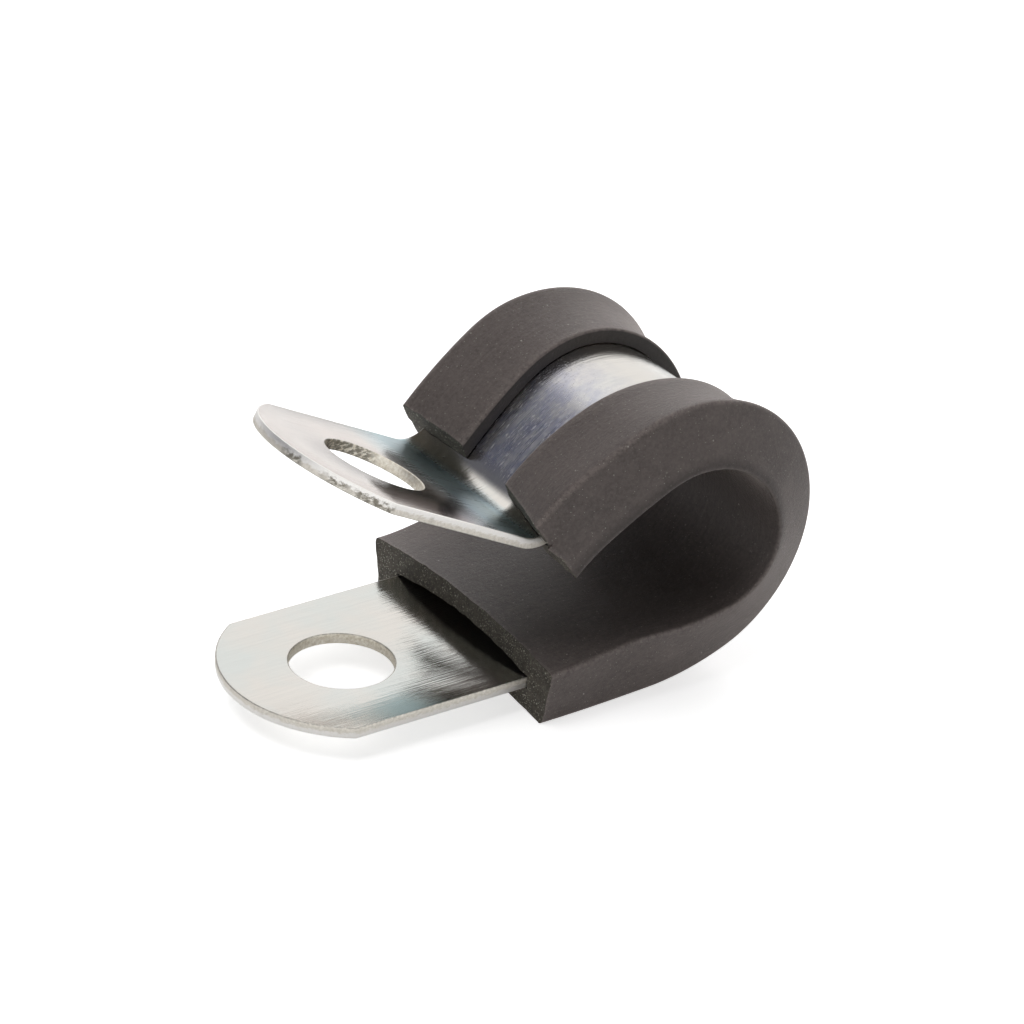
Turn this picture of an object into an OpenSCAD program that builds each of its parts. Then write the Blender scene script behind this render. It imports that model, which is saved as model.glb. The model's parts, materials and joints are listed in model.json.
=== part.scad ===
// Rubber-lined P clip, open as supplied.
// The clip lies on its lower leg. X runs along the lower leg, from the tab towards the loop, and Y runs
// across the band. The origin is on the axis of the lower tab's hole, at the underside of the band.

/* [Band] */
// Width of the steel band
band_w = 12; // [9:0.5:20]
// Thickness of the steel band
band_t = 0.6; // [0.4:0.1:1]
// Diameter of the screw hole in each tab
hole_d = 5.5; // [4.3:0.1:6.6]
// How much larger the radius of a tab's curved end is than half of the band's width
tab_end_extra = 1; // [0.2:0.1:4]
// From the centre of a hole to the tip of its tab
hole_to_tip = 6.4; // [5:0.1:9]

/* [Bends] */
// From the lower hole to the end of the lining
lower_tab_run = 7.4; // [5:0.1:14]
// Straight length of the lower leg inside the lining
lower_leg = 6.8; // [3:0.1:16]
// Radius of the slow bend that lifts the lower leg
heel_r = 13; // [8:0.5:25]
// Angle of the slow bend that lifts the lower leg
heel_angle = 20; // [5:1:30]
// Radius of the lower half of the loop
toe_r = 5.9; // [5:0.1:12]
// Angle of the lower half of the loop
toe_angle = 70; // [60:1:90]
// Radius of the upper half of the loop
crown_r = 6.5; // [5:0.1:12]
// Angle of the upper half of the loop
crown_angle = 120; // [100:1:130]
// Radius of the slow bend in the upper leg
upper_leg_r = 16; // [10:0.5:30]
// Angle of the slow bend in the upper leg
upper_leg_angle = 17; // [5:1:25]
// Straight length of the upper leg before the tab is bent out
upper_leg = 0.2; // [0.1:0.1:4]
// Inside radius of the bend at the upper tab
fold_r = 1.7; // [1.4:0.1:3]
// Angle of the bend at the upper tab
fold_angle = 74; // [50:1:90]
// From the bend to the centre of the upper hole
upper_tab_run = 6; // [5:0.1:12]

/* [Lining] */
// Thickness of a side beside the band, where it faces the cable
side_t = 2.1; // [1.7:0.05:3]
// Thickness of the wall that faces the cable
wall_t = 1.2; // [0.8:0.1:1.6]
// Thickness of a lip at its free edge
lip_t = 0.8; // [0.5:0.1:1.1]
// Thickness of a lip at its outer corner
lip_root_t = 1.35; // [1.1:0.05:1.8]
// How far each lip reaches in over the band
lip_reach = 3.95; // [2:0.05:4.5]
// Rounding of the outside corners of the lining
corner_r = 0.3; // [0.2:0.1:0.6]
// Rounding of the free edge of a lip
lip_edge_r = 0.2; // [0.1:0.05:0.3]
// Play between the band and the slot that it lies in
slot_play = 0.05; // [0.03:0.01:0.1]
// How far the wall stands off the band at the lower end
end_bow = 0.7; // [0:0.1:1]
// How far the wall bunches up over the slow lower bend
heel_bulge = 0.7; // [0:0.1:1]
// How far the wall runs on past the upper leg's last bend
wall_run_on = 1.45; // [1:0.05:1.8]
// How far the lips stop short of the wall at the upper end
lip_short = 0.85; // [0:0.05:1.2]
// How much further the lips' free edges stop short than their outer corners
lip_slant = 1.1; // [0:0.1:1.5]
// How far the upper end is cut askew across the band
end_skew = 0.8; // [0:0.1:1.5]

/* [Hidden] */
$fn = 96;
// Largest turn between two stations of the band in a bend, in degrees
BEND_STEP = 3;
// How far a cutting shape runs past what it cuts
CUT_PAST = 1;
STEEL = [0.78, 0.79, 0.8];
RUBBER = [0.17, 0.16, 0.16];

half_t = band_t / 2;

// The band's centre line between its two tabs, leg by leg: [length, 0] is straight and
// [radius, angle] is a bend. A positive angle turns towards the cable, a negative one away from it.
LEGS = [
    [lower_leg, 0],
    [heel_r, heel_angle],
    [toe_r, toe_angle],
    [crown_r, crown_angle],
    [upper_leg_r, upper_leg_angle],
    [upper_leg, 0],
    [fold_r + half_t, -fold_angle]
];
LEGS_IN_LINING = 5;

// How bending draws the lining out of its free shape, by fraction of its length: the inner corners
// spread, the outer corners draw in and rise, the lips move apart and the wall bunches up.
SPREAD = [[0, 0.05], [0.5, 0.6], [0.8, 0.5], [1, -0.2]];
DRAW_IN = [[0, 0.6], [0.4, 1.2], [0.8, 0.9], [1, 1.55]];
RISE = [[0, 0], [0.35, -0.05], [0.6, 0.1], [0.85, 0.05], [1, 0.3]];
PART = [[0, 0], [0.7, 0.95], [1, -0.05]];
BUNCH = [[0, 0], [0.16, 1], [0.5, 0], [0.9, 0], [1, -0.3]];

// Value at u in a table of [u, value], eased from each row to the next
function eased(u, table, i = 0) =
    i < len(table) - 2 && u > table[i + 1][0]
    ? eased(u, table, i + 1)
    : let (part = (u - table[i][0]) / (table[i + 1][0] - table[i][0]))
    table[i][1] + (table[i + 1][1] - table[i][1]) * (1 - cos(180 * part)) / 2;

// A pose is [x, z, heading] on the centre line.
START = [lower_tab_run, half_t, 0];

function turn_sign(leg) = leg[1] < 0 ? -1 : 1;

function leg_length(leg) = leg[1] == 0 ? leg[0] : leg[0] * abs(leg[1]) * PI / 180;

// Pose at a distance s along one leg that starts at pose p. A straight leg may be run past its end.
function along(p, leg, s) =
    leg[1] == 0
    ? [p[0] + s * cos(p[2]), p[1] + s * sin(p[2]), p[2]]
    : let (
        side = turn_sign(leg),
        end = p[2] + side * s / leg[0] * 180 / PI
    )
    [p[0] + side * leg[0] * (sin(end) - sin(p[2])), p[1] - side * leg[0] * (cos(end) - cos(p[2])), end];

function leg_start(i) = i == 0 ? START : along(leg_start(i - 1), LEGS[i - 1], leg_length(LEGS[i - 1]));

function run_to(i) = i == 0 ? 0 : run_to(i - 1) + leg_length(LEGS[i - 1]);

STARTS = [for (i = [0 : LEGS_IN_LINING]) leg_start(i)];
RUNS = [for (i = [0 : LEGS_IN_LINING]) run_to(i)];

// Pose at a distance s from the lining's lower end. Past its last bend the lining runs on straight.
function pose(s, i = 0) =
    i == LEGS_IN_LINING
    ? along(STARTS[i], [0, 0], s - RUNS[i])
    : s <= RUNS[i + 1] ? along(STARTS[i], LEGS[i], s - RUNS[i]) : pose(s, i + 1);

// ---- Steel strap ----

// Poses along the whole band, from the tip of the lower tab to the tip of the upper one
function bend_steps(leg) = leg[1] == 0 ? 1 : ceil(abs(leg[1]) / BEND_STEP);

function leg_poses(i) =
    let (steps = bend_steps(LEGS[i]))
    [for (k = [0 : steps - 1]) along(leg_start(i), LEGS[i], k / steps * leg_length(LEGS[i]))];

function beside(p, side) = [p[0] + side * sin(p[2]), p[1] - side * cos(p[2])];

module at_pose(p) {
    translate([p[0], 0, p[1]])
        rotate([0, -p[2], 0])
            children();
}

// The bent strip, with square ends
module strip() {
    fold_end = leg_start(len(LEGS));
    poses = concat(
        [along(START, [0, 0], -lower_tab_run - hole_to_tip)],
        [for (i = [0 : len(LEGS) - 1]) each leg_poses(i)],
        [fold_end, along(fold_end, [0, 0], upper_tab_run + hole_to_tip)]
    );
    outer_side = [for (p = poses) beside(p, half_t)];
    inner_side = [for (i = [len(poses) - 1 : -1 : 0]) beside(poses[i], -half_t)];
    rotate([90, 0, 0])
        linear_extrude(band_w, center = true)
            polygon(concat(outer_side, inner_side));
}

// What is cut from a tab: the hole at the origin, and the corners beside the curved end along +X
module tab_cut() {
    end_r = band_w / 2 + tab_end_extra;
    end_centre = hole_to_tip - end_r;
    linear_extrude(band_t + 2 * CUT_PAST, center = true) {
        circle(d = hole_d);
        difference() {
            translate([end_centre, -band_w / 2 - CUT_PAST])
                square([end_r + CUT_PAST, band_w + 2 * CUT_PAST]);
            translate([end_centre, 0])
                circle(r = end_r);
        }
    }
}

module steel_strap() {
    color(STEEL)
        difference() {
            strip();
            at_pose(along([START[0], START[1], 180], [0, 0], lower_tab_run))
                tab_cut();
            at_pose(along(leg_start(len(LEGS)), [0, 0], upper_tab_run))
                tab_cut();
        }
}

// ---- Rubber lining ----

lining_run = RUNS[LEGS_IN_LINING] + wall_run_on;
slot_half_w = band_w / 2 + slot_play;
slot_half_t = half_t + slot_play;
// Distance between two sections of the lining
RING_PITCH = 0.6;
RINGS = ceil(lining_run / RING_PITCH);
// Steps in the rounding of a corner
CORNER_STEPS = 3;
// Share of the bow that is left halfway between the middle and the edge of the band
BOW_HALFWAY = 0.75;

// The bow dies away along the straight leg.
function bow(s) = s < lower_leg ? end_bow * pow(cos(90 * s / lower_leg), 2) : 0;

// One corner of an outline, rounded off towards the corners before and after it
function round_corner(before, corner, after, r) =
    r == 0
    ? [corner]
    : let (
        back = (before - corner) / norm(before - corner),
        ahead = (after - corner) / norm(after - corner)
    )
    [for (k = [0 : CORNER_STEPS])
        let (u = k / CORNER_STEPS)
        corner + r * (pow(1 - u, 2) * back + pow(u, 2) * ahead)];

// Half of the lining's section at a fraction u of its length. The first value is the distance from
// the middle of the band, the second is the height above the centre line on the lips' side, and the
// third is the rounding.
function half_section(u) =
    let (
        s = u * lining_run,
        wall = slot_half_t + wall_t + heel_bulge * eased(u, BUNCH),
        rim = slot_half_t + lip_root_t + eased(u, RISE),
        lip = slot_half_t + lip_t,
        inner_w = slot_half_w + side_t + eased(u, SPREAD),
        outer_w = slot_half_w + side_t - eased(u, DRAW_IN),
        lip_w = slot_half_w - lip_reach + eased(u, PART)
    )
    [
        [0, -wall - bow(s), 0],
        [slot_half_w / 2, -wall - BOW_HALFWAY * bow(s), 0],
        [inner_w, -wall, corner_r],
        [outer_w, rim, corner_r],
        [lip_w, lip, lip_edge_r],
        [lip_w, slot_half_t, 0],
        [slot_half_w, slot_half_t, 0],
        [slot_half_w, -slot_half_t, 0],
        [slot_half_w / 2, -slot_half_t - BOW_HALFWAY * bow(s), 0],
        [0, -slot_half_t - bow(s), 0]
    ];

function flat(p) = [p[0], p[1]];

function rounded_half(u) =
    let (points = half_section(u), last = len(points) - 1)
    [for (i = [0 : last])
        each round_corner(flat(points[max(i - 1, 0)]), flat(points[i]), flat(points[min(i + 1, last)]),
            points[i][2])];

// The whole section, once round: one half, then the other half mirrored and in reverse
function section(u) =
    let (half = rounded_half(u), last = len(half) - 1)
    concat(half, [for (i = [last - 1 : -1 : 1]) [-half[i][0], half[i][1]]]);

// How far a point of the section falls short of the wall at the upper end
function shortfall(q) =
    let (height = max(0, q[1] + slot_half_t + wall_t) / (2 * slot_half_t + wall_t + lip_root_t))
    height * (lip_short + (q[1] > 0 ? lip_slant * (1 - abs(q[0]) / slot_half_w) : 0)) + end_skew * q[0] / band_w;

// How far the band has lifted off the straight where it starts to bend out into the upper tab
function lift(s) =
    let (run = s - RUNS[LEGS_IN_LINING] - upper_leg)
    run < 0 ? 0 : fold_r - sqrt(max(0, pow(fold_r, 2) - pow(run, 2)));

// The slot's face under the lips gives way to the band there.
function lining_point(u, q) =
    let (
        s = u * (lining_run - shortfall(q)),
        p = pose(s),
        height = q[1] + (q[1] > 0 && q[1] <= slot_half_t ? lift(s) : 0)
    )
    [p[0] + height * sin(p[2]), q[0], p[1] - height * cos(p[2])];

// Places of some points in a half section: the last one of the inner corner's rounding, the foot of
// the lip and the slot's last point, in the middle of the band
INNER_RIM_END = CORNER_STEPS + 2;
LIP_FOOT = 3 * CORNER_STEPS + 5;
SLOT_END = LIP_FOOT + 4;

// The slot's point that an outer point is joined to where an end is closed
function slot_mate(k) =
    k < 2
    ? SLOT_END - k
    : k <= INNER_RIM_END ? SLOT_END - 2 : SLOT_END - 3;

// Triangles that close half of an end
function end_zip() =
    [for (k = [0 : LIP_FOOT - 1])
        each concat(
            [[k, k + 1, slot_mate(k + 1)]],
            slot_mate(k) == slot_mate(k + 1) ? [] : [[k, slot_mate(k + 1), slot_mate(k)]]
        )];

module rubber_lining() {
    sections = [for (i = [0 : RINGS]) section(i / RINGS)];
    n = len(sections[0]);
    points = [for (i = [0 : RINGS]) for (q = sections[i]) lining_point(i / RINGS, q)];
    sides = [for (i = [0 : RINGS - 1]) for (k = [0 : n - 1])
        let (a = i * n + k, b = i * n + (k + 1) % n)
        each [[a, b, b + n], [a, b + n, a + n]]];
    half_end = end_zip();
    end = concat(half_end, [for (t = half_end) [for (i = [2 : -1 : 0]) (n - t[i]) % n]]);
    lower_end = [for (t = end) [t[2], t[1], t[0]]];
    upper_end = [for (t = end) [for (k = t) RINGS * n + k]];
    color(RUBBER)
        polyhedron(points, concat(sides, lower_end, upper_end));
}

steel_strap();
rubber_lining();
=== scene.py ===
"""A rubber-lined P clip, open as supplied: the bent steel band and the rubber lining that it lies in.

Each piece starts flat, as the real one does. The band is a blank with two holes, and the lining is a
straight channel. Both are then bent along the same centre line. Coordinates are in metres. X runs along
the lower leg from the tab towards the loop, Y across the band and Z up.
"""

import json
import math

import bmesh
import bpy
from bpy.props import FloatProperty, FloatVectorProperty, IntProperty, PointerProperty
from bpy.types import Operator, Panel, PropertyGroup
from mathutils import Matrix, Vector, noise


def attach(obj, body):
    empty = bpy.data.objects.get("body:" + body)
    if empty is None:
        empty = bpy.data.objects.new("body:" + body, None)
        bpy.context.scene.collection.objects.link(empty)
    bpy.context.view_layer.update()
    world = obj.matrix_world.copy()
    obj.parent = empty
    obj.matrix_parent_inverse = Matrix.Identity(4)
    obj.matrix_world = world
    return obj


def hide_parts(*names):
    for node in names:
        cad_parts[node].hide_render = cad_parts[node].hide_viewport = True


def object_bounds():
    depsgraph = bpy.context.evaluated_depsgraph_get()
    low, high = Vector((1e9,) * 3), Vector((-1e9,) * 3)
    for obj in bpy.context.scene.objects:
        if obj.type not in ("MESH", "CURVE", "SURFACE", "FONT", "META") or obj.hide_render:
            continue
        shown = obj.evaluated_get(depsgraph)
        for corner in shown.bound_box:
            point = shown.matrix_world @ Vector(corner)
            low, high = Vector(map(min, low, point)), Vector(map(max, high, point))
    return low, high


bl_info = {
    "name": "Rubber-lined P clip",
    "version": (1, 0, 0),
    "blender": (4, 5, 0),
    "location": "3D View > Sidebar > P clip",
    "description": "Builds a rubber-lined P clip over its solids",
    "category": "Add Mesh",
}

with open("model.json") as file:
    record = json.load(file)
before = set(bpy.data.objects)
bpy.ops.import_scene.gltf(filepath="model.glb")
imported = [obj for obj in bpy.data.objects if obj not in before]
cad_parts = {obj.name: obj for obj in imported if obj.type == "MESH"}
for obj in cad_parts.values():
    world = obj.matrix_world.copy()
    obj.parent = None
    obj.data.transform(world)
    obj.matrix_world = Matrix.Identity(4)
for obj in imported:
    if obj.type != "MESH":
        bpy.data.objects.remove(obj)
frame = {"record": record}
SOLIDS_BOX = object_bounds()
HOLES = {m["name"]: m for m in frame["record"]["mounts"] if m["kind"] == "bore"}
MM = 0.001


# ---- Settings ----


class BandSizes(PropertyGroup):
    """Sizes of the steel band."""

    width: FloatProperty(
        name="Width", description="Width of the band", default=12 * MM, unit="LENGTH"
    )
    thickness: FloatProperty(
        name="Thickness", description="Thickness of the band", default=0.6 * MM, unit="LENGTH"
    )
    hole_radius: FloatProperty(
        name="Hole radius",
        description="Radius of the screw hole in each tab",
        default=HOLES["lower_hole"]["dims"]["r_mm"] * MM,
        unit="LENGTH",
    )
    end_radius: FloatProperty(
        name="End radius", description="Radius of a tab's curved end", default=7 * MM, unit="LENGTH"
    )
    hole_to_tip: FloatProperty(
        name="Hole to tip",
        description="From the centre of a hole to the tip of its tab",
        default=6.4 * MM,
        unit="LENGTH",
    )
    edge_round: FloatProperty(
        name="Edge rounding",
        description="Rounding of the sheared edges",
        default=0.07 * MM,
        unit="LENGTH",
    )


class BendSizes(PropertyGroup):
    """The centre line that the band and the lining are bent along."""

    lower_tab: FloatProperty(
        name="Lower tab",
        description="From the lower hole to the end of the lining",
        default=7.4 * MM,
        unit="LENGTH",
    )
    lower_leg: FloatProperty(
        name="Lower leg",
        description="Straight length of the lower leg inside the lining",
        default=6.8 * MM,
        unit="LENGTH",
    )
    heel_radius: FloatProperty(
        name="Heel radius", description="Radius of the slow lower bend", default=13 * MM, unit="LENGTH"
    )
    heel_angle: FloatProperty(
        name="Heel angle",
        description="Angle of the slow lower bend",
        default=math.radians(20),
        subtype="ANGLE",
    )
    toe_radius: FloatProperty(
        name="Toe radius",
        description="Radius of the lower half of the loop",
        default=5.9 * MM,
        unit="LENGTH",
    )
    toe_angle: FloatProperty(
        name="Toe angle",
        description="Angle of the lower half of the loop",
        default=math.radians(70),
        subtype="ANGLE",
    )
    crown_radius: FloatProperty(
        name="Crown radius",
        description="Radius of the upper half of the loop",
        default=6.5 * MM,
        unit="LENGTH",
    )
    crown_angle: FloatProperty(
        name="Crown angle",
        description="Angle of the upper half of the loop",
        default=math.radians(120),
        subtype="ANGLE",
    )
    upper_leg_radius: FloatProperty(
        name="Upper leg radius",
        description="Radius of the slow bend in the upper leg",
        default=16 * MM,
        unit="LENGTH",
    )
    upper_leg_angle: FloatProperty(
        name="Upper leg angle",
        description="Angle of the slow bend in the upper leg",
        default=math.radians(17),
        subtype="ANGLE",
    )
    upper_leg: FloatProperty(
        name="Upper leg",
        description="Straight length of the upper leg before the tab is bent out",
        default=0.2 * MM,
        unit="LENGTH",
    )
    fold_radius: FloatProperty(
        name="Fold radius",
        description="Radius of the bend at the upper tab, on the centre line",
        default=2 * MM,
        unit="LENGTH",
    )
    fold_angle: FloatProperty(
        name="Fold angle",
        description="Angle of the bend at the upper tab",
        default=math.radians(74),
        subtype="ANGLE",
    )
    upper_tab: FloatProperty(
        name="Upper tab",
        description="From the bend to the centre of the upper hole",
        default=6 * MM,
        unit="LENGTH",
    )


class LiningSizes(PropertyGroup):
    """Sizes of the rubber lining's section and of its ends."""

    play: FloatProperty(
        name="Play", description="Play between the band and its slot", default=0.05 * MM, unit="LENGTH"
    )
    side: FloatProperty(
        name="Side",
        description="Thickness of a side beside the band, where it faces the cable",
        default=2.1 * MM,
        unit="LENGTH",
    )
    wall: FloatProperty(
        name="Wall",
        description="Thickness of the wall that faces the cable",
        default=1.2 * MM,
        unit="LENGTH",
    )
    lip: FloatProperty(
        name="Lip", description="Thickness of a lip at its free edge", default=0.8 * MM, unit="LENGTH"
    )
    lip_root: FloatProperty(
        name="Lip root",
        description="Thickness of a lip at its outer corner",
        default=1.35 * MM,
        unit="LENGTH",
    )
    lip_reach: FloatProperty(
        name="Lip reach",
        description="How far each lip reaches in over the band",
        default=3.95 * MM,
        unit="LENGTH",
    )
    corner_round: FloatProperty(
        name="Corner rounding",
        description="Rounding of the outside corners",
        default=0.3 * MM,
        unit="LENGTH",
    )
    lip_round: FloatProperty(
        name="Lip rounding",
        description="Rounding of the free edge of a lip",
        default=0.2 * MM,
        unit="LENGTH",
    )
    end_bow: FloatProperty(
        name="End bow",
        description="How far the wall stands off the band at the lower end",
        default=0.7 * MM,
        unit="LENGTH",
    )
    heel_bulge: FloatProperty(
        name="Heel bulge",
        description="How far the wall bunches up over the slow lower bend",
        default=0.7 * MM,
        unit="LENGTH",
    )
    run_on: FloatProperty(
        name="Run on",
        description="How far the wall runs on past the upper leg's last bend",
        default=1.45 * MM,
        unit="LENGTH",
    )
    lip_short: FloatProperty(
        name="Lips short",
        description="How far the lips stop short of the wall at the upper end",
        default=0.85 * MM,
        unit="LENGTH",
    )
    lip_slant: FloatProperty(
        name="Lip slant",
        description="How much further the lips' free edges stop short than their outer corners",
        default=1.1 * MM,
        unit="LENGTH",
    )
    end_skew: FloatProperty(
        name="End skew",
        description="How far the upper end is cut askew across the band",
        default=0.8 * MM,
        unit="LENGTH",
    )
    tear: FloatProperty(
        name="Tear",
        description="How far the cut ends are torn in and out",
        default=0.07 * MM,
        unit="LENGTH",
    )
    rings: IntProperty(
        name="Rings", description="Sections along the lining", default=190, min=20, max=600
    )
    corner_steps: IntProperty(
        name="Corner steps", description="Steps in the rounding of a corner", default=6, min=1, max=16
    )


class Finishes(PropertyGroup):
    """Colours and gloss of the two materials."""

    zinc: FloatVectorProperty(
        name="Zinc",
        description="Colour of the plated steel",
        default=(0.775, 0.74, 0.69),
        subtype="COLOR",
    )
    zinc_cool: FloatVectorProperty(
        name="Cool zinc",
        description="Colour of the plating's bluish patches",
        default=(0.715, 0.735, 0.705),
        subtype="COLOR",
    )
    zinc_pink: FloatVectorProperty(
        name="Pink zinc",
        description="Colour of the plating on the upper tab",
        default=(0.74, 0.665, 0.625),
        subtype="COLOR",
    )
    zinc_blue: FloatVectorProperty(
        name="Blue zinc",
        description="Colour of the plating round the bend at the upper tab",
        default=(0.54, 0.68, 0.72),
        subtype="COLOR",
    )
    zinc_roughness: FloatProperty(
        name="Zinc roughness",
        description="Middle roughness of the plated steel",
        default=0.13,
        min=0,
        max=1,
    )
    rubber: FloatVectorProperty(
        name="Rubber",
        description="Colour of the moulded rubber",
        default=(0.104, 0.087, 0.081),
        subtype="COLOR",
    )
    rubber_cut: FloatVectorProperty(
        name="Cut rubber",
        description="Colour of the rubber where it is cut",
        default=(0.037, 0.032, 0.026),
        subtype="COLOR",
    )


class StudioSettings(PropertyGroup):
    """Camera, floor and light."""

    azimuth: FloatProperty(
        name="Azimuth",
        description="Direction of the camera round the clip",
        default=math.radians(-36.466),
        subtype="ANGLE",
    )
    elevation: FloatProperty(
        name="Elevation",
        description="Height of the camera as an angle",
        default=math.radians(29.021),
        subtype="ANGLE",
    )
    roll: FloatProperty(
        name="Roll", description="Roll of the camera", default=math.radians(3.955), subtype="ANGLE"
    )
    distance: FloatProperty(
        name="Distance",
        description="From the camera to its aim",
        default=309.892 * MM,
        unit="LENGTH",
    )
    aim: FloatVectorProperty(
        name="Aim",
        description="Point that the camera looks at",
        default=(10.109 * MM, -0.09 * MM, 6.7 * MM),
        subtype="TRANSLATION",
    )
    lens: FloatProperty(
        name="Lens", description="Focal length in millimetres", default=210.94, unit="CAMERA"
    )
    key_power: FloatProperty(
        name="Key lamp", description="Power of the lamp overhead", default=0.74, min=0, unit="POWER"
    )
    back_power: FloatProperty(
        name="Back lamp", description="Power of the lamp behind", default=1.3, min=0, unit="POWER"
    )
    ambient: FloatProperty(
        name="Ambient", description="Strength of the surrounding light", default=0.33, min=0
    )
    front_shade: FloatProperty(
        name="Front shade",
        description="How much less of the surrounding light comes from the camera's side",
        default=0.9,
        min=0,
        max=1,
    )
    dark_side: FloatVectorProperty(
        name="Dark side",
        description="Direction of the studio's unlit corner",
        default=(-0.553, 0.703, 0.448),
        subtype="DIRECTION",
    )
    dark_colour: FloatVectorProperty(
        name="Dark corner",
        description="Colour of the studio's unlit corner",
        default=(0.13, 0.135, 0.16),
        subtype="COLOR",
    )
    floor_colour: FloatVectorProperty(
        name="Floor", description="Colour of the floor", default=(0.9, 0.9, 0.9), subtype="COLOR"
    )


# ---- The centre line ----


def along(pose, leg, run):
    """Pose at a distance along one leg.

    A pose is (x, z, heading). A leg is (length, 0) if it is straight, and (radius, angle) if it is bent.
    """
    x, z, heading = pose
    radius, angle = leg
    if angle == 0:
        return (x + run * math.cos(heading), z + run * math.sin(heading), heading)
    side = math.copysign(1, angle)
    end = heading + side * run / radius
    return (
        x + side * radius * (math.sin(end) - math.sin(heading)),
        z - side * radius * (math.cos(end) - math.cos(heading)),
        end,
    )


def leg_length(leg):
    """Length of a leg on the centre line."""
    return leg[0] if leg[1] == 0 else leg[0] * abs(leg[1])


class CentreLine:
    """The band's centre line. Its zero is where the lining starts, and both ends run on straight.

    The starts are the legs' poses, and the runs are how far along the line the legs start. The holes are
    the places of the two tabs' holes along it.
    """

    # The lining doesn't follow the last two: the short straight and the bend at the upper tab
    LEGS_IN_LINING = 5

    def __init__(self, band, bends):
        self.legs = [
            (bends.lower_leg, 0),
            (bends.heel_radius, bends.heel_angle),
            (bends.toe_radius, bends.toe_angle),
            (bends.crown_radius, bends.crown_angle),
            (bends.upper_leg_radius, bends.upper_leg_angle),
            (bends.upper_leg, 0),
            (bends.fold_radius, -bends.fold_angle),
        ]
        self.starts = [(bends.lower_tab, band.thickness / 2, 0)]
        self.runs = [0]
        for leg in self.legs:
            self.starts.append(along(self.starts[-1], leg, leg_length(leg)))
            self.runs.append(self.runs[-1] + leg_length(leg))
        self.holes = (-bends.lower_tab, self.runs[-1] + bends.upper_tab)

    def pose(self, run, legs=None):
        """Pose at a distance from the zero. Past the last of the legs it runs on straight."""
        legs = len(self.legs) if legs is None else legs
        for i in range(legs):
            if run <= self.runs[i + 1]:
                return along(self.starts[i], self.legs[i], run - self.runs[i])
        return along(self.starts[legs], (0, 0), run - self.runs[legs])

    def stations(self, pitch, turn):
        """Distances at which a flat piece is cut so that it bends smoothly."""
        cuts = []
        for i, leg in enumerate(self.legs):
            steps = max(
                math.ceil(leg_length(leg) / pitch) if leg[1] else 1, math.ceil(abs(leg[1]) / turn)
            )
            cuts += [self.runs[i] + leg_length(leg) * k / steps for k in range(steps)]
        return cuts + [self.runs[-1]]


def bent(pose, across, height):
    """Where a flat piece's point goes. Its height is above the centre line, on the cable's side."""
    x, z, heading = pose
    return Vector((x - height * math.sin(heading), across, z + height * math.cos(heading)))


# ---- Finishing a mesh ----


def finish_piece(name, bm, materials, sharp_angle):
    """Makes the piece's object, smooth apart from its edges, and hangs it on the clip's one body."""
    mesh = bpy.data.meshes.new(name)
    bm.to_mesh(mesh)
    bm.free()
    for material in materials:
        mesh.materials.append(material)
    mesh.shade_smooth()
    mesh.set_sharp_from_angle(angle=sharp_angle)
    piece = bpy.data.objects.new(name, mesh)
    bpy.context.scene.collection.objects.link(piece)
    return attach(piece, "root")


# ---- Steel band ----

# Steps round a tab's curved end, and round a hole
END_STEPS = 48
HOLE_SEGMENTS = 96


def tab_blank(bm, band, hole_at, root_at):
    """Draws one flat tab's outline and hole, out to its curved end. Returns the corners of its root."""
    outward = math.copysign(1, hole_at - root_at)
    end_centre = hole_at + outward * (band.hole_to_tip - band.end_radius)
    half_w = band.width / 2
    half_arc = math.asin(half_w / band.end_radius)
    start = bm.verts.new(
        (end_centre + outward * band.end_radius * math.cos(half_arc), -half_w, 0)
    )
    arc = bmesh.ops.spin(
        bm,
        geom=[start],
        cent=(end_centre, 0, 0),
        axis=(0, 0, outward),
        angle=2 * half_arc,
        steps=END_STEPS,
    )
    end = next(g for g in arc["geom_last"] if isinstance(g, bmesh.types.BMVert))
    near_root = bm.verts.new((root_at, -half_w, 0))
    far_root = bm.verts.new((root_at, half_w, 0))
    bm.edges.new((start, near_root))
    bm.edges.new((end, far_root))
    bm.edges.new((near_root, far_root))
    bmesh.ops.create_circle(
        bm,
        segments=HOLE_SEGMENTS,
        radius=band.hole_radius,
        matrix=Matrix.Translation((hole_at, 0, 0)),
    )
    return near_root, far_root


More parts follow.
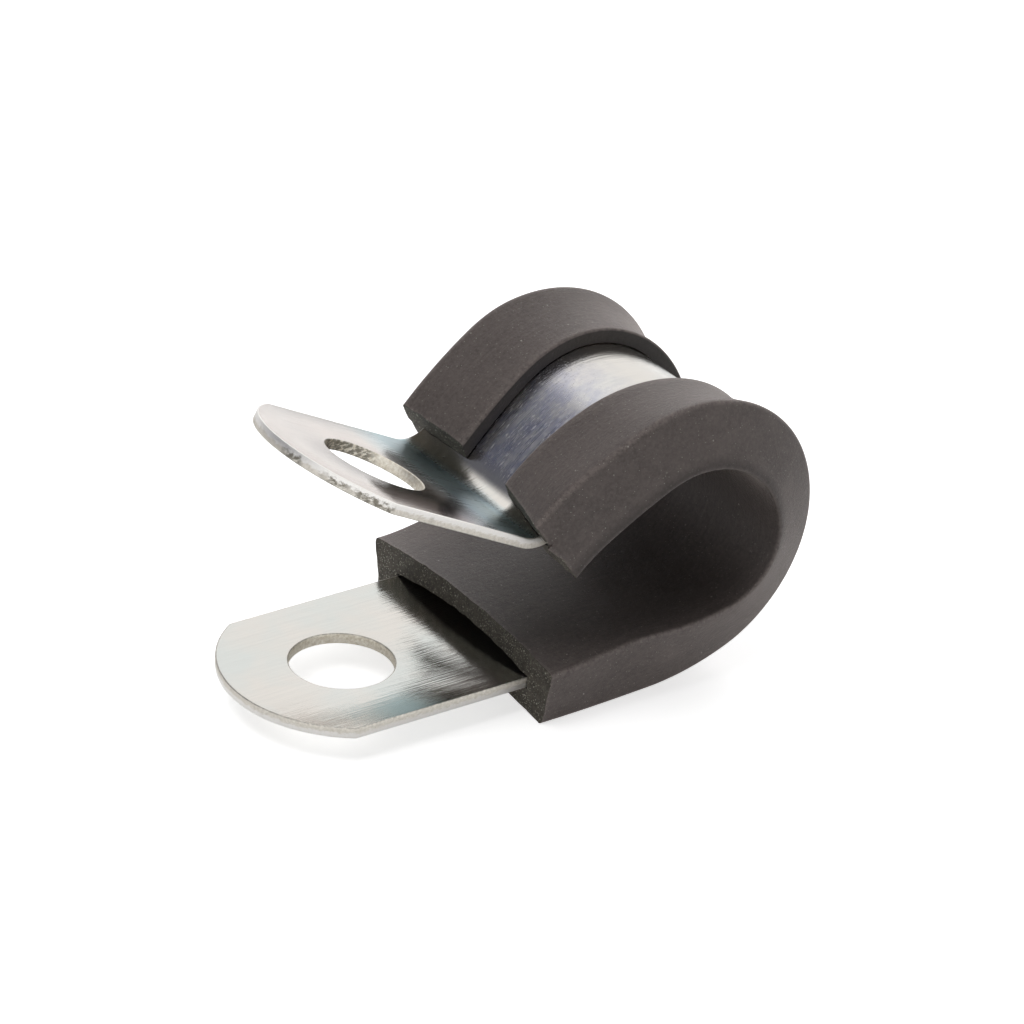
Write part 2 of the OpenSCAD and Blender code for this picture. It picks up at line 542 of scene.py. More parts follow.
def band_blank(bm, band, line):
    """The flat blank, cut across at each station of the bends and given its thickness."""
    roots = []
    for hole, root in zip(line.holes, (-1.5 * MM, line.runs[-1] + 1 * MM)):
        known = set(bm.edges)
        roots += tab_blank(bm, band, hole, root)
        outline = [e for e in bm.edges if e not in known]
        bmesh.ops.triangle_fill(bm, use_beauty=True, edges=outline)
    bmesh.ops.contextual_create(bm, geom=roots)
    for run in line.stations(pitch=0.5 * MM, turn=math.radians(2.5)):
        crossed = []
        for edge in bm.edges:
            first, last = sorted(v.co.x for v in edge.verts)
            if first < run < last:
                crossed.append(edge)
        faces = {f for e in crossed for f in e.link_faces}
        bmesh.ops.bisect_plane(
            bm, geom=[*crossed, *faces], plane_co=(run, 0, 0), plane_no=(1, 0, 0)
        )
    bmesh.ops.translate(bm, verts=bm.verts, vec=(0, 0, -band.thickness / 2))
    top = bmesh.ops.extrude_face_region(bm, geom=bm.faces[:])["geom"]
    bmesh.ops.translate(
        bm, verts=[g for g in top if isinstance(g, bmesh.types.BMVert)], vec=(0, 0, band.thickness)
    )
    bmesh.ops.recalc_face_normals(bm, faces=bm.faces)
    for face in bm.faces:
        upright = abs(face.normal.z) < 0.5
        face.material_index = 1 if upright else 0
    rounded = bmesh.ops.bevel(
        bm,
        geom=[e for e in bm.edges if e.calc_face_angle(0) > math.radians(60)],
        offset=band.edge_round,
        offset_type="OFFSET",
        segments=3,
        profile=0.5,
        affect="EDGES",
        material=-1,
        clamp_overlap=True,
    )
    for face in rounded["faces"]:
        face.material_index = 1


def lay_out_flat(bm):
    """Writes each point's place on the flat piece: the UV map "flat", and "depth" for its height."""
    flat = bm.loops.layers.uv.new("flat")
    depth = bm.verts.layers.float.new("depth")
    for vert in bm.verts:
        vert[depth] = vert.co.z / MM
    for face in bm.faces:
        for loop in face.loops:
            loop[flat].uv = (loop.vert.co.x, loop.vert.co.y)


class PCLIP_OT_steel_band(Operator):
    """Make the bent steel band with its two tabs"""

    bl_idname = "pclip.steel_band"
    bl_label = "Steel band"

    def execute(self, context):
        scene = context.scene
        band, bends = scene.pclip_band, scene.pclip_bends
        line = CentreLine(band, bends)
        bm = bmesh.new()
        band_blank(bm, band, line)
        lay_out_flat(bm)
        for vert in bm.verts:
            vert.co = bent(line.pose(vert.co.x), vert.co.y, vert.co.z)
        finishes = scene.pclip_finishes
        materials = [zinc_plate(finishes, line), sheared_edge(finishes, band, line)]
        piece = finish_piece("steel_band", bm, materials, math.radians(50))
        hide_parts("steel_strap")
        return {"FINISHED"}


# ---- Rubber lining ----

# How bending draws the lining out of its free shape, by fraction of its length: the inner corners
# spread, the outer corners draw in and rise, the lips move apart and the wall bunches up.
SPREAD = ((0, 0.05), (0.5, 0.6), (0.8, 0.5), (1, -0.2))
DRAW_IN = ((0, 0.6), (0.4, 1.2), (0.8, 0.9), (1, 1.55))
RISE = ((0, 0), (0.35, -0.05), (0.6, 0.1), (0.85, 0.05), (1, 0.3))
PART = ((0, 0), (0.7, 0.95), (1, -0.05))
BUNCH = ((0, 0), (0.16, 1), (0.5, 0), (0.9, 0), (1, -0.3))
# How far it hollows the lips' outsides
DISH = ((0, 0), (0.35, 0.05), (0.6, 0.3), (0.85, 0.1), (1, 0))
# Two places nearer than this are the same
SLACK = 0.01 * MM


def eased(u, table):
    """Value at u in a table of (u, value), eased from each row to the next."""
    i = 0
    while i < len(table) - 2 and u > table[i + 1][0]:
        i += 1
    part = (u - table[i][0]) / (table[i + 1][0] - table[i][0])
    return table[i][1] + (table[i + 1][1] - table[i][1]) * (1 - math.cos(math.pi * part)) / 2


def between(first, corner, rounding, steps):
    """Points on the straight side from the last point to where the corner's rounding starts."""
    end = corner + (first - corner).normalized() * rounding
    return [first.lerp(end, k / steps) for k in range(1, steps)]


class Channel:
    """The lining's section at each fraction of its length, and where its points go when it is bent."""

    def __init__(self, band, bends, sizes, line):
        self.sizes = sizes
        self.line = line
        self.band_w = band.width
        self.half_t = band.thickness / 2
        self.straight = bends.lower_leg
        self.run = line.runs[line.LEGS_IN_LINING] + sizes.run_on
        self.slot_w = band.width / 2 + sizes.play
        self.slot_t = band.thickness / 2 + sizes.play

    def bow(self, run):
        """How far the wall stands off the band. It dies away along the straight leg."""
        if run >= self.straight:
            return 0
        return self.sizes.end_bow * math.cos(math.pi / 2 * run / self.straight) ** 2

    def half(self, u):
        """Half of the section, from the middle of the wall outwards and back in through the slot.

        Each corner is (across, height on the lips' side, rounding, steps to the next corner).
        """
        sizes = self.sizes
        wall = self.slot_t + sizes.wall + sizes.heel_bulge * eased(u, BUNCH)
        rim = self.slot_t + sizes.lip_root + eased(u, RISE) * MM
        inner_w = self.slot_w + sizes.side + eased(u, SPREAD) * MM
        outer_w = self.slot_w + sizes.side - eased(u, DRAW_IN) * MM
        lip_w = self.slot_w - sizes.lip_reach + eased(u, PART) * MM
        return (
            (0, -wall, 0, 20),
            (inner_w, -wall, sizes.corner_round, 6),
            (outer_w, rim, sizes.corner_round, 8),
            (lip_w, self.slot_t + sizes.lip, sizes.lip_round, 2),
            (lip_w, self.slot_t, 0, 6),
            (self.slot_w, self.slot_t, 0, 2),
            (self.slot_w, -self.slot_t, 0, 20),
            (0, -self.slot_t, 0, 0),
        )

    def section(self, u):
        """The whole section, once round: one rounded half, then the other half in reverse."""
        corners = self.half(u)
        bow = self.bow(u * self.run)
        inner_w, outer_w, lip_w = (corners[i][0] for i in (1, 2, 3))
        half = []
        for i, (across, height, rounding, _) in enumerate(corners):
            corner = Vector((across, height))
            if half:
                half += between(half[-1], corner, rounding, corners[i - 1][3])
            if rounding == 0:
                half.append(corner)
                continue
            last, following = Vector(corners[i - 1][:2]), Vector(corners[i + 1][:2])
            back = (last - corner).normalized() * rounding
            ahead = (following - corner).normalized() * rounding
            for k in range(self.sizes.corner_steps + 1):
                t = k / self.sizes.corner_steps
                half.append(corner + (1 - t) ** 2 * back + t**2 * ahead)
        bowed = []
        for p in half:
            reach = inner_w if p.y < -self.slot_t - self.sizes.wall / 2 else self.slot_w
            off = bow * max(0, 1 - (p.x / reach) ** 2) if p.y < 0 else 0
            if p.y > self.slot_t + self.sizes.lip / 2:
                part = (p.x - lip_w) / (outer_w - lip_w)
                off = 4 * max(0, part * (1 - part)) * eased(u, DISH) * MM
            bowed.append(Vector((p.x, p.y - off)))
        return bowed + [Vector((-p.x, p.y)) for p in bowed[-2:0:-1]]

    def shortfall(self, place):
        """How far a point of the section falls short of the wall at the upper end."""
        sizes = self.sizes
        across, height = place
        depth = 2 * self.slot_t + sizes.wall + sizes.lip_root
        share = max(0, height + self.slot_t + sizes.wall) / depth
        slant = sizes.lip_slant * (1 - abs(across) / self.slot_w) if height > 0 else 0
        return share * (sizes.lip_short + slant) + sizes.end_skew * across / self.band_w

    def lift(self, run):
        """How far the band has lifted off the straight where it starts to bend into the upper tab."""
        past = run - self.line.runs[-2]
        inside = self.line.legs[-1][0] - self.half_t
        return 0 if past < 0 else inside - math.sqrt(max(0, inside**2 - past**2))

    def formed(self, u, place):
        """Where a point of the section goes on the bent lining. Both ends are a little torn."""
        run = u * (self.run - self.shortfall(place))
        height = place.y
        if 0 < height <= self.slot_t + SLACK:
            height += self.lift(run)
        if u in (0, 1):
            spot = Vector((place.x, place.y, u * MM)) / MM
            ragged = noise.noise(spot * 1.6) + 0.6 * noise.noise(spot * 5)
            run += self.sizes.tear * ragged
        return bent(self.line.pose(run, self.line.LEGS_IN_LINING), place.x, -height)

    def wear(self, place):
        """How worn a point of the free section is: 1 on the outside corners and 0 away from them."""
        corners = [Vector(corner[:2]) for corner in self.half(0) if corner[2] > 0]
        away = min((Vector((abs(place.x), place.y)) - corner).length for corner in corners)
        return max(0, min(1, 1.6 * (1 - away / self.sizes.corner_round)))

    def painted_shade(self, place):
        """Painted shade at a point of the free section: 1 in the slot, less on the lips' free edges."""
        across, height = abs(place.x), place.y
        slot_bottom = -(self.slot_t + self.sizes.end_bow)
        if across <= self.slot_w + SLACK and slot_bottom - SLACK <= height <= self.slot_t + SLACK:
            return 1
        on_edge = across <= self.slot_w - self.sizes.lip_reach + SLACK
        edge_top = self.slot_t + self.sizes.lip - self.sizes.lip_round / 2
        return 0.8 if on_edge and 0 < height < edge_top else 0

    def painted_loop_shade(self, u, place):
        """Painted shade inside the loop at a point: up to a half on the wall that faces the cable."""
        faces_cable = place.y < -self.slot_t - self.sizes.wall / 2
        start, full = 0.38, 0.52
        deep = max(0, min(1, (u - start) / (full - start)))
        return 0.5 * deep if faces_cable else 0


def straight_channel(bm, channel, rings):
    """The straight lining with both ends closed. Returns each vertex's ring and place in the section."""
    section = channel.section(0)
    verts = [bm.verts.new((0, p.x, -p.y)) for p in section]
    edges = [bm.edges.new((a, b)) for a, b in zip(verts, verts[1:] + verts[:1])]
    pitch = channel.run / rings
    swept = bmesh.ops.spin(
        bm, geom=edges, cent=(0, 0, 0), axis=(0, 1, 0), dvec=(pitch, 0, 0), angle=0, steps=rings
    )
    last = [g for g in swept["geom_last"] if isinstance(g, bmesh.types.BMEdge)]
    ends = []
    for loop in (edges, last):
        filled = bmesh.ops.triangle_fill(bm, use_beauty=True, edges=loop)["geom"]
        ends += [g for g in filled if isinstance(g, bmesh.types.BMFace)]
    bmesh.ops.recalc_face_normals(bm, faces=bm.faces)
    for face in ends:
        face.material_index = 1
    places = {(round(p.x, 7), round(-p.y, 7)): i for i, p in enumerate(section)}
    worn = bm.verts.layers.float.new("worn")
    # Painted shade: how far the rubber is drawn darker in the slot, on the lips' free edges and inside
    # the loop
    painted_shade = bm.verts.layers.float.new("painted_shade")
    wear = [channel.wear(p) for p in section]
    painted_shades = [channel.painted_shade(p) for p in section]
    spots = []
    for vert in bm.verts:
        place = places[round(vert.co.y, 7), round(vert.co.z, 7)]
        ring = round(vert.co.x / pitch)
        vert[worn] = max(wear[place], 0.8 * (ring in (0, rings)))
        vert[painted_shade] = max(painted_shades[place], channel.painted_loop_shade(ring / rings, section[place]))
        spots.append((ring, place))
    return spots


class PCLIP_OT_rubber_lining(Operator):
    """Make the rubber channel that the band lies in"""

    bl_idname = "pclip.rubber_lining"
    bl_label = "Rubber lining"

    def execute(self, context):
        scene = context.scene
        band, bends, sizes = scene.pclip_band, scene.pclip_bends, scene.pclip_lining
        channel = Channel(band, bends, sizes, CentreLine(band, bends))
        bm = bmesh.new()
        spots = straight_channel(bm, channel, sizes.rings)
        lay_out_flat(bm)
        sections = [channel.section(i / sizes.rings) for i in range(sizes.rings + 1)]
        for vert, (ring, place) in zip(bm.verts, spots):
            vert.co = channel.formed(ring / sizes.rings, sections[ring][place])
        finishes = scene.pclip_finishes
        piece = finish_piece(
            "lining", bm, [moulded_rubber(finishes), cut_rubber(finishes)], math.radians(35)
        )
        worn = piece.modifiers.new("Worn edges", "BEVEL")
        worn.width = 0.04 * MM
        worn.segments = 2
        worn.limit_method = "ANGLE"
        worn.angle_limit = math.radians(60)
        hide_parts("rubber_lining")
        return {"FINISHED"}


# ---- Materials ----


class Finish:
    """A node material in the making: its Principled shader and the nodes that feed it."""

    def __init__(self, name, **constants):
        self.material = bpy.data.materials.new(name)
        self.material.use_nodes = True
        self.nodes = self.material.node_tree.nodes
        self.links = self.material.node_tree.links
        self.shader = self.nodes["Principled BSDF"]
        for socket, value in constants.items():
            self.shader.inputs[socket.replace("_", " ")].default_value = value

    def node(self, kind, inputs=None, **settings):
        """Adds a node. Inputs are values, or sockets to link from."""
        node = self.nodes.new(kind)
        for key, value in settings.items():
            setattr(node, key, value)
        for key, value in (inputs or {}).items():
            if isinstance(value, bpy.types.NodeSocket):
                self.links.new(value, node.inputs[key])
            else:
                node.inputs[key].default_value = value
        return node

    def place(self, scale=(1, 1, 1), flat=False):
        """Object coordinates, or the place on the flat piece, in millimetres times the scale."""
        if flat:
            source = self.node("ShaderNodeUVMap", uv_map="flat").outputs["UV"]
        else:
            source = self.node("ShaderNodeTexCoord").outputs["Object"]
        scales = [s / MM for s in scale]
        return self.node("ShaderNodeMapping", {"Vector": source, "Scale": scales}).outputs["Vector"]

    def run(self):
        """How far along the flat piece a point is, in metres."""
        flat = self.node("ShaderNodeUVMap", uv_map="flat").outputs["UV"]
        return self.node("ShaderNodeSeparateXYZ", {"Vector": flat}).outputs["X"]

    def attribute(self, name):
        """A value that the mesh holds at each vertex."""
        return self.node("ShaderNodeAttribute", attribute_name=name).outputs["Fac"]

    def noise(self, vector, scale, detail=4, roughness=0.55):
        """Noise from 0 to 1."""
        return self.node(
            "ShaderNodeTexNoise",
            {"Vector": vector, "Scale": scale, "Detail": detail, "Roughness": roughness},
        ).outputs["Fac"]

    def ramp(self, value, start, end, low=0, high=1):
        """A value taken from the span start to end into the span low to high, and kept inside it."""
        return self.node(
            "ShaderNodeMapRange",
            {"Value": value, "From Min": start, "From Max": end, "To Min": low, "To Max": high},
        ).outputs["Result"]

    def mix(self, factor, first, second, blend="MIX"):
        """Two colours mixed by a factor."""
        node = self.nodes.new("ShaderNodeMix")
        node.data_type = "RGBA"
        node.blend_type = blend
        for index, value in ((0, factor), (6, first), (7, second)):
            if isinstance(value, bpy.types.NodeSocket):
                self.links.new(value, node.inputs[index])
            else:
                node.inputs[index].default_value = value if index == 0 else (*value, 1)
        return node.outputs[2]

    def maths(self, operation, first, second):
        """One operation on two values."""
        node = self.node("ShaderNodeMath", {0: first, 1: second}, operation=operation)
        return node.outputs["Value"]

    def product(self, first, *others):
        """Values multiplied together."""
        for other in others:
            first = self.maths("MULTIPLY", first, other)
        return first

    def feed(self, **sockets):
        """Links sockets to the shader's inputs."""
        for name, socket in sockets.items():
            self.links.new(socket, self.shader.inputs[name.replace("_", " ")])

    def bump(self, *layers):
        """Adds up bumps: each layer is (height, depth in millimetres)."""
        normal = None
        for height, depth in layers:
            inputs = {"Height": height, "Distance": depth * MM, "Strength": 1}
            if normal:
                inputs["Normal"] = normal
            normal = self.node("ShaderNodeBump", inputs).outputs["Normal"]
        self.feed(Normal=normal)


def shade(colour, factor):
    """A darker or lighter colour."""
    return tuple(part * factor for part in colour)


def zinc_plate(finishes, line):
    """Bright zinc plating over rolled strip.

    It is streaked and pitted, stained and nicked on the upper leg, and bluish and pink on the upper tab.
    """
    finish = Finish("zinc_plate", Metallic=1)
    streaks = finish.noise(finish.place((0.22, 7, 1), flat=True), 1, 5, 0.65)
    hairs = finish.noise(finish.place((0.22, 11, 1), flat=True), 1, 2, 0.5)
    nicks = finish.noise(finish.place((2.4, 11, 1), flat=True), 1, 4, 0.65)
    patches = finish.noise(finish.place(), 0.16, 3, 0.6)
    cloud = finish.noise(finish.place(), 0.9, 4, 0.65)
    cells = finish.node("ShaderNodeTexVoronoi", {"Vector": finish.place(flat=True), "Scale": 0.3})
    pit = finish.ramp(cells.outputs["Distance"], 0.025, 0.04, 1, 0)

    run = finish.run()
    bend_start, bend_end = line.runs[-2:]
    on_leg = finish.product(
        finish.ramp(run, bend_start - 9 * MM, bend_start - 5 * MM),
        finish.ramp(run, bend_start - 0.6 * MM, bend_start + 0.2 * MM, 1, 0),
    )
    by_bend = finish.product(
        finish.ramp(run, bend_end - 1.3 * MM, bend_end - 0.6 * MM),
        finish.ramp(run, bend_end + 1.5 * MM, bend_end + 4 * MM, 1, 0),
    )
    on_tab = finish.ramp(run, bend_end, bend_end + 5 * MM, 0, 0.8)
    nick = finish.product(finish.ramp(nicks, 0.58, 0.7), finish.ramp(on_leg, 0, 1, 0.15, 1))

    stained = finish.mix(finish.ramp(cloud, 0.4, 0.6), (0.53, 0.53, 0.63), (0.73, 0.71, 0.72))
    streak_grey, bare_steel, pit_brown = (0.56, 0.55, 0.53), (0.88, 0.86, 0.83), (0.16, 0.14, 0.12)
    colour = finish.mix(finish.ramp(patches, 0.42, 0.62), finishes.zinc, finishes.zinc_cool)
    colour = finish.mix(on_leg, colour, stained)
    colour = finish.mix(on_tab, colour, finishes.zinc_pink)
    colour = finish.mix(by_bend, colour, finishes.zinc_blue)
    colour = finish.mix(finish.ramp(streaks, 0.35, 0.75, 0, 0.16), colour, streak_grey)
    colour = finish.mix(finish.ramp(nick, 0, 1, 0, 0.7), colour, bare_steel)
    colour = finish.mix(pit, colour, pit_brown)

    middle = finishes.zinc_roughness
    rough = finish.ramp(streaks, 0.3, 0.7, middle - 0.04, middle + 0.07)
    for dulled, amount in ((on_leg, 0.14), (by_bend, 0.16), (nick, 0.2)):
        rough = finish.maths("ADD", rough, finish.ramp(dulled, 0, 1, 0, amount))
    finish.feed(Base_Color=colour, Roughness=rough)
    brushed = finish.product(hairs, finish.ramp(on_leg, 0, 1, 1, 0.3))
    finish.bump((patches, 0.004), (streaks, 0.005), (brushed, 0.011), (nick, -0.006), (pit, -0.02))
    return finish.material


def sheared_edge(finishes, band, line):
    """The plated edge left by the shear: half bright, half dull and grainy, torn on the upper tab, and
    with painted shade along its top.
    """
    finish = Finish("sheared_edge", Metallic=1)
    marks = finish.noise(finish.place((9, 9, 1), flat=True), 1, 3, 0.6)
    patches = finish.noise(finish.place((0.3, 0.3, 1), flat=True), 1, 2, 0.5)
    grain = finish.noise(finish.place(), 6, 4, 0.7)
    broken = finish.noise(finish.place((3, 3, 6)), 1, 5, 0.7)

    depth = finish.attribute("depth")
    wavy = finish.maths("ADD", depth, finish.ramp(broken, 0.3, 0.7, -0.12, 0.12))
    dull = finish.ramp(wavy, -0.06, 0.06)
    # Painted shade: a dark grainy line along the top of the edge
    painted_edge_shade = finish.product(finish.ramp(depth, 0.24, 0.28), finish.ramp(grain, 0.35, 0.6, 0.2, 0.8))
    flat = finish.place(flat=True)
    from_holes = [
        finish.node(
            "ShaderNodeVectorMath", {0: flat, 1: (hole / MM, 0, 0)}, operation="DISTANCE"
        ).outputs["Value"]
        for hole in line.holes
    ]
    rim = band.hole_radius / MM
    in_hole = finish.ramp(finish.maths("MINIMUM", *from_holes), rim + 0.3, rim + 0.6, 1, 0)
    torn = finish.product(
        finish.ramp(patches, 0.48, 0.54),
        finish.ramp(broken, 0.4, 0.56),
        finish.ramp(wavy, -0.16, -0.04),
    )
    chipped = finish.product(in_hole, finish.ramp(broken, 0.43, 0.53))
    past_bend = finish.ramp(finish.run(), line.runs[-1] + 4 * MM, line.runs[-1] + 4.6 * MM)
    torn = finish.product(finish.maths("MAXIMUM", torn, chipped), past_bend)

    bright = finish.mix(finish.ramp(marks, 0.35, 0.7, 0, 0.5), (0.97, 0.95, 0.92), (0.87, 0.84, 0.80))
    beige = finish.mix(finish.ramp(grain, 0.35, 0.65), (0.88, 0.84, 0.77), (0.70, 0.66, 0.59))
    tan = finish.mix(finish.ramp(grain, 0.35, 0.65), (0.93, 0.89, 0.79), (0.62, 0.55, 0.43))
    torn_grey, painted_edge_grey = (0.26, 0.24, 0.20), (0.42, 0.40, 0.37)
    colour = finish.mix(dull, bright, beige)
    colour = finish.mix(finish.ramp(in_hole, 0, 1, 0, 0.8), colour, tan)
    colour = finish.mix(torn, colour, torn_grey)
    # Painted shade along the top of the edge
    colour = finish.mix(painted_edge_shade, colour, painted_edge_grey)
    finish.feed(Base_Color=colour, Roughness=finish.ramp(dull, 0, 1, 0.42, 0.52))
    finish.bump((marks, 0.006), (grain, 0.02), (broken, 0.015))
    return finish.material


def dusty(finish, colour, spacing, size, pale):
    """A colour with pale specks in it, about a spacing apart, and fainter or left out by lot."""
    cells = finish.node("ShaderNodeTexVoronoi", {"Vector": finish.place(), "Scale": 1 / spacing})
    edge = size / spacing
    dot = finish.ramp(cells.outputs["Distance"], edge / 2, edge, 1, 0)
    lot = finish.node("ShaderNodeSeparateColor", {"Color": cells.outputs["Color"]}).outputs["Red"]
    return finish.mix(finish.product(dot, finish.ramp(lot, 0.3, 1)), colour, pale)


def moulded_rubber(finishes):
    """Matt black rubber as moulded: an uneven bloom, a fine grain, worn corners and specks of dust, with
    painted shade in the slot, on the lips' free edges and inside the loop.
    """
    finish = Finish(
        "moulded_rubber",
        IOR=1.5,
        Sheen_Weight=0.4,
        Sheen_Roughness=0.3,
        Sheen_Tint=(1, 0.88, 0.83, 1),
        Specular_IOR_Level=0.28,
    )
    bloom = finish.noise(finish.place(), 0.35, 4, 0.6)
    grain = finish.noise(finish.place(), 5, 5, 0.75)
    drag = finish.noise(finish.place((0.6, 5, 5), flat=True), 1.0, 4, 0.65)
    light = shade(finishes.rubber, 1.6)
    colour = finish.mix(finish.ramp(bloom, 0.35, 0.65), shade(finishes.rubber, 0.8), finishes.rubber)
    colour = finish.mix(finish.ramp(grain, 0.4, 0.7, 0, 0.7), colour, light)
    colour = finish.mix(finish.ramp(drag, 0.48, 0.72, 0, 0.4), colour, light)
    rubbed = finish.product(finish.attribute("worn"), finish.ramp(grain, 0.35, 0.6, 0.1, 0.9))
    colour = finish.mix(rubbed, colour, shade(finishes.rubber, 2))
    fine_dust, coarse_dust = (0.36, 0.34, 0.31), (0.42, 0.39, 0.36)
    colour = dusty(finish, colour, 0.17, 0.032, fine_dust)
    colour = dusty(finish, colour, 0.7, 0.06, coarse_dust)
    # Painted shade: the rubber drawn far darker in the slot, on the lips' free edges and inside the loop
    colour = finish.mix(finish.attribute("painted_shade"), colour, shade(finishes.rubber, 0.2))
    finish.feed(Base_Color=colour, Roughness=finish.ramp(grain, 0.3, 0.7, 0.36, 0.54))
    finish.bump((bloom, 0.05), (drag, 0.014), (grain, 0.032))
    return finish.material


def cut_rubber(finishes):
    """Rubber where the channel is cut off: mottled, greenish grey and full of pale filler."""
    finish = Finish("cut_rubber", IOR=1.5, Specular_IOR_Level=0.3)
    mottle = finish.noise(finish.place(), 1.8, 6, 0.8)
    grit = finish.noise(finish.place(), 9, 4, 0.75)
    mottled, gritty, pores = (0.098, 0.088, 0.070), (0.135, 0.122, 0.098), (0.03, 0.026, 0.022)
    fine_filler, coarse_filler = (0.50, 0.47, 0.40), (0.85, 0.82, 0.70)
    colour = finish.mix(finish.ramp(mottle, 0.38, 0.66), finishes.rubber_cut, mottled)
    colour = finish.mix(finish.ramp(grit, 0.42, 0.72, 0, 0.8), colour, gritty)
    colour = finish.mix(finish.ramp(grit, 0.3, 0.45, 0.7, 0), colour, pores)
    colour = dusty(finish, colour, 0.12, 0.04, fine_filler)
    colour = dusty(finish, colour, 0.36, 0.058, coarse_filler)
    finish.feed(Base_Color=colour, Roughness=finish.ramp(grit, 0.3, 0.7, 0.6, 0.85))
    finish.bump((mottle, 0.08), (grit, 0.05))
    return finish.material


# ---- Studio ----


def soft_lamp(name, aim, offset, power):
    """A square soft lamp at an offset from its aim. The steel doesn't mirror it."""
    lamp = bpy.data.lights.new(name, "AREA")
    lamp.shape = "SQUARE"
    lamp.size = 0.25
    lamp.energy = power
    holder = bpy.data.objects.new(name, lamp)
    bpy.context.scene.collection.objects.link(holder)
    holder.location = Vector(aim) + Vector(offset)
    holder.rotation_euler = (-Vector(offset)).to_track_quat("-Z", "Y").to_euler()
    holder.visible_glossy = False


def ramped(nodes, links, value, spans, interpolation="LINEAR"):
    """A value taken from one span into another. The spans are (start, end, low, high)."""
    node = nodes.new("ShaderNodeMapRange")
    node.interpolation_type = interpolation
    for name, bound in zip(("From Min", "From Max", "To Min", "To Max"), spans):
        if isinstance(bound, bpy.types.NodeSocket):
            links.new(bound, node.inputs[name])
        else:
            node.inputs[name].default_value = bound
    links.new(value, node.inputs["Value"])
    return node.outputs["Result"]


def facing(nodes, links, direction):
    """How far a direction of the surroundings lies towards another: 1 in line with it, -1 opposite."""
    towards = nodes.new("ShaderNodeVectorMath")
    towards.operation = "DOT_PRODUCT"
    towards.inputs[1].default_value = Vector(direction).normalized()
    links.new(nodes.new("ShaderNodeTexCoord").outputs["Generated"], towards.inputs[0])
    return towards.outputs["Value"]


def seen_directly(nodes, links, *kinds):
    """1 for rays from the camera, and for the other kinds of ray that are named."""
    path = nodes.new("ShaderNodeLightPath")
    total = path.outputs["Is Camera Ray"]
    for name in kinds:
        either = nodes.new("ShaderNodeMath")
        either.operation = "MAXIMUM"
        links.new(total, either.inputs[0])
        links.new(path.outputs[name], either.inputs[1])
        total = either.outputs["Value"]
    return total


def pale_surroundings(studio):
    """White all round where it is seen, with one unlit corner, and a softer light on the clip."""
    world = bpy.data.worlds.new("surroundings")
    bpy.context.scene.world = world
    world.use_nodes = True
    nodes, links = world.node_tree.nodes, world.node_tree.links
    background = nodes["Background"]
    edge, core = 0.72, 0.95
    towards_dark = facing(nodes, links, studio.dark_side)
    corner = ramped(nodes, links, towards_dark, (edge, core, 0, 1), "SMOOTHSTEP")
    colour = nodes.new("ShaderNodeMix")
    colour.data_type = "RGBA"
    colour.inputs[6].default_value = (1, 1, 1, 1)
    colour.inputs[7].default_value = (*studio.dark_colour, 1)
    links.new(corner, colour.inputs[0])
    links.new(colour.outputs[2], background.inputs["Color"])
    front = (math.sin(studio.azimuth), -math.cos(studio.azimuth), 0)
    behind, before = -0.3, 0.9
    least = studio.ambient * (1 - studio.front_shade)
    towards_front = facing(nodes, links, front)
    soft = ramped(nodes, links, towards_front, (behind, before, studio.ambient, least), "SMOOTHSTEP")
    seen = seen_directly(nodes, links, "Is Glossy Ray", "Is Transmission Ray")
    links.new(ramped(nodes, links, seen, (0, 1, soft, 1)), background.inputs["Strength"])


def pale_floor(studio, height):
    """A plain floor that keeps the clip's soft shadow.

    It glows a little: enough to be white where it is seen, and less where the steel mirrors it.
    """
    bm = bmesh.new()
    bmesh.ops.create_grid(bm, x_segments=1, y_segments=1, size=1.5)
    bmesh.ops.translate(bm, verts=bm.verts, vec=(0, 0, height))
    mesh = bpy.data.meshes.new("floor")
    bm.to_mesh(mesh)
    bm.free()
    material = bpy.data.materials.new("pale_floor")
    material.use_nodes = True
    nodes, links = material.node_tree.nodes, material.node_tree.links
    shader = nodes["Principled BSDF"]
    shader.inputs["Base Color"].default_value = (*studio.floor_colour, 1)
    shader.inputs["Roughness"].default_value = 0.9
    shader.inputs["Emission Color"].default_value = (1, 1, 1, 1)
    seen, mirrored, lighting = 0.65, 0.06, 0.45
    glow = ramped(nodes, links, seen_directly(nodes, links, "Is Glossy Ray"), (0, 1, lighting, mirrored))
    glow = ramped(nodes, links, seen_directly(nodes, links), (0, 1, glow, seen))
    links.new(glow, shader.inputs["Emission Strength"])
    mesh.materials.append(material)
    floor = bpy.data.objects.new("floor", mesh)
    bpy.context.scene.collection.objects.link(floor)


def matched_camera(studio):
    """The camera, from its direction round the clip, its height, its roll and its aim."""
    around, up, roll = studio.azimuth, studio.elevation, studio.roll
    back = Vector(
        (math.sin(around) * math.cos(up), -math.cos(around) * math.cos(up), math.sin(up))
    )
    level = Vector((math.cos(around), math.sin(around), 0))
    upright = back.cross(level)
    right = math.cos(roll) * level + math.sin(roll) * upright
    top = math.cos(roll) * upright - math.sin(roll) * level
    camera = bpy.data.cameras.new("camera")
    camera.sensor_width = 36
    camera.lens = studio.lens
    camera.clip_start = 0.01
    holder = bpy.data.objects.new("camera", camera)
    bpy.context.scene.collection.objects.link(holder)
    turn = Matrix((right, top, back)).transposed()
    holder.matrix_world = Matrix.Translation(Vector(studio.aim) + studio.distance * back) @ turn.to_4x4()
    bpy.context.scene.camera = holder


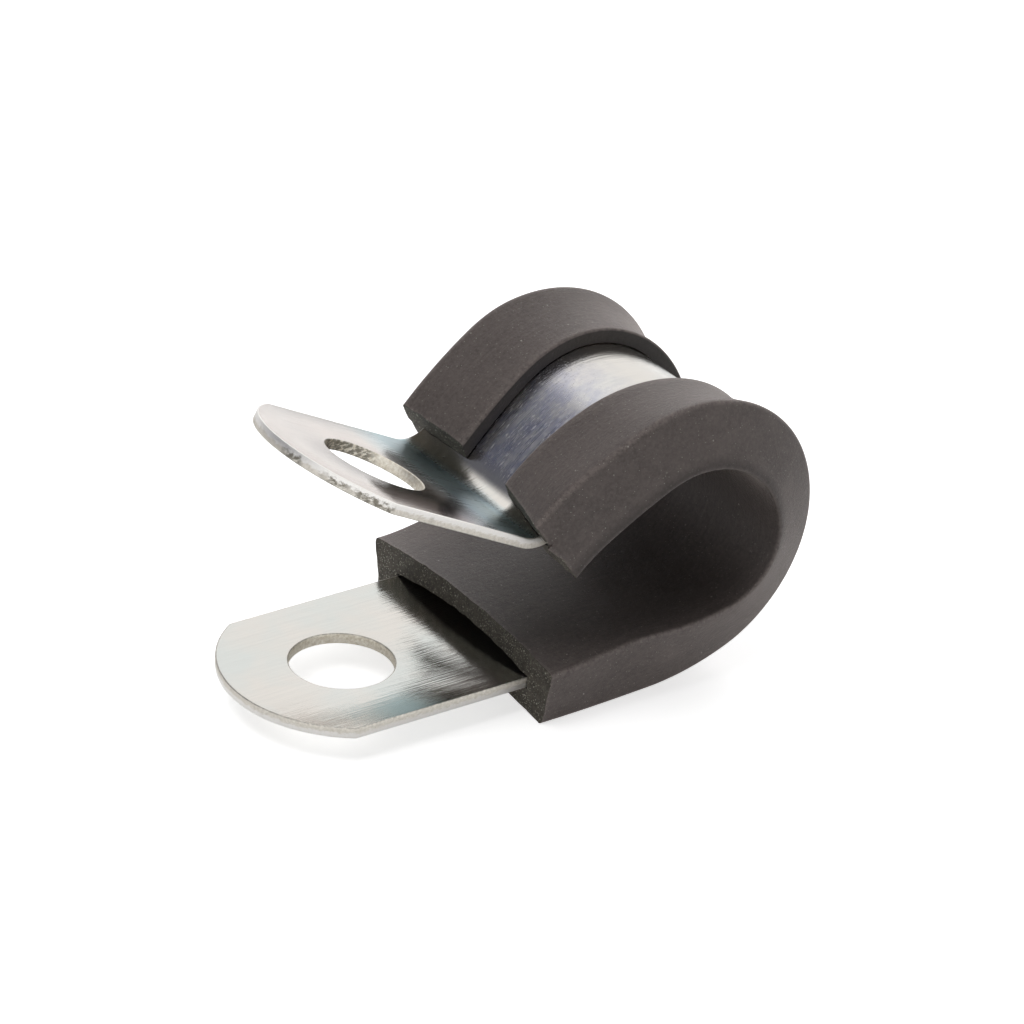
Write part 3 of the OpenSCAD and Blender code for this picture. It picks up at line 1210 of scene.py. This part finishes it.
class PCLIP_OT_studio(Operator):
    """Make the floor, the soft lamps, the surroundings and the camera"""

    bl_idname = "pclip.studio"
    bl_label = "Studio"

    def execute(self, context):
        studio = context.scene.pclip_studio
        pale_surroundings(studio)
        pale_floor(studio, SOLIDS_BOX[0][2])
        soft_lamp("key_lamp", studio.aim, (-0.11, 0.05, 0.37), studio.key_power)
        soft_lamp("back_lamp", studio.aim, (0.3, 0.3, 0.15), studio.back_power)
        matched_camera(studio)
        context.scene.view_settings.view_transform = "Standard"
        return {"FINISHED"}


# ---- Panel and registration ----


class PCLIP_PT_panel(Panel):
    """Sizes, finishes and the operators that make the clip"""

    bl_label = "P clip"
    bl_idname = "PCLIP_PT_panel"
    bl_space_type = "VIEW_3D"
    bl_region_type = "UI"
    bl_category = "P clip"

    def draw(self, context):
        scene = context.scene
        for title, group in (
            ("Band", scene.pclip_band),
            ("Bends", scene.pclip_bends),
            ("Lining", scene.pclip_lining),
            ("Finishes", scene.pclip_finishes),
            ("Studio", scene.pclip_studio),
        ):
            box = self.layout.box()
            box.label(text=title)
            for name in group.bl_rna.properties.keys():
                if name not in {"name", "rna_type"}:
                    box.prop(group, name)
        for operator in (PCLIP_OT_steel_band, PCLIP_OT_rubber_lining, PCLIP_OT_studio):
            self.layout.operator(operator.bl_idname)


CLASSES = (
    BandSizes,
    BendSizes,
    LiningSizes,
    Finishes,
    StudioSettings,
    PCLIP_OT_steel_band,
    PCLIP_OT_rubber_lining,
    PCLIP_OT_studio,
    PCLIP_PT_panel,
)
SETTINGS = {
    "pclip_band": BandSizes,
    "pclip_bends": BendSizes,
    "pclip_lining": LiningSizes,
    "pclip_finishes": Finishes,
    "pclip_studio": StudioSettings,
}


def register():
    """Registers the classes and puts the settings on the scene."""
    for cls in CLASSES:
        bpy.utils.register_class(cls)
    for name, group in SETTINGS.items():
        setattr(bpy.types.Scene, name, PointerProperty(type=group))


def unregister():
    """Takes the settings off the scene and unregisters the classes."""
    for name in SETTINGS:
        delattr(bpy.types.Scene, name)
    for cls in reversed(CLASSES):
        bpy.utils.unregister_class(cls)


def main():
    """Builds the clip and its studio."""
    register()
    bpy.ops.pclip.steel_band()
    bpy.ops.pclip.rubber_lining()
    bpy.ops.pclip.studio()


if __name__ == "__main__":
    main()
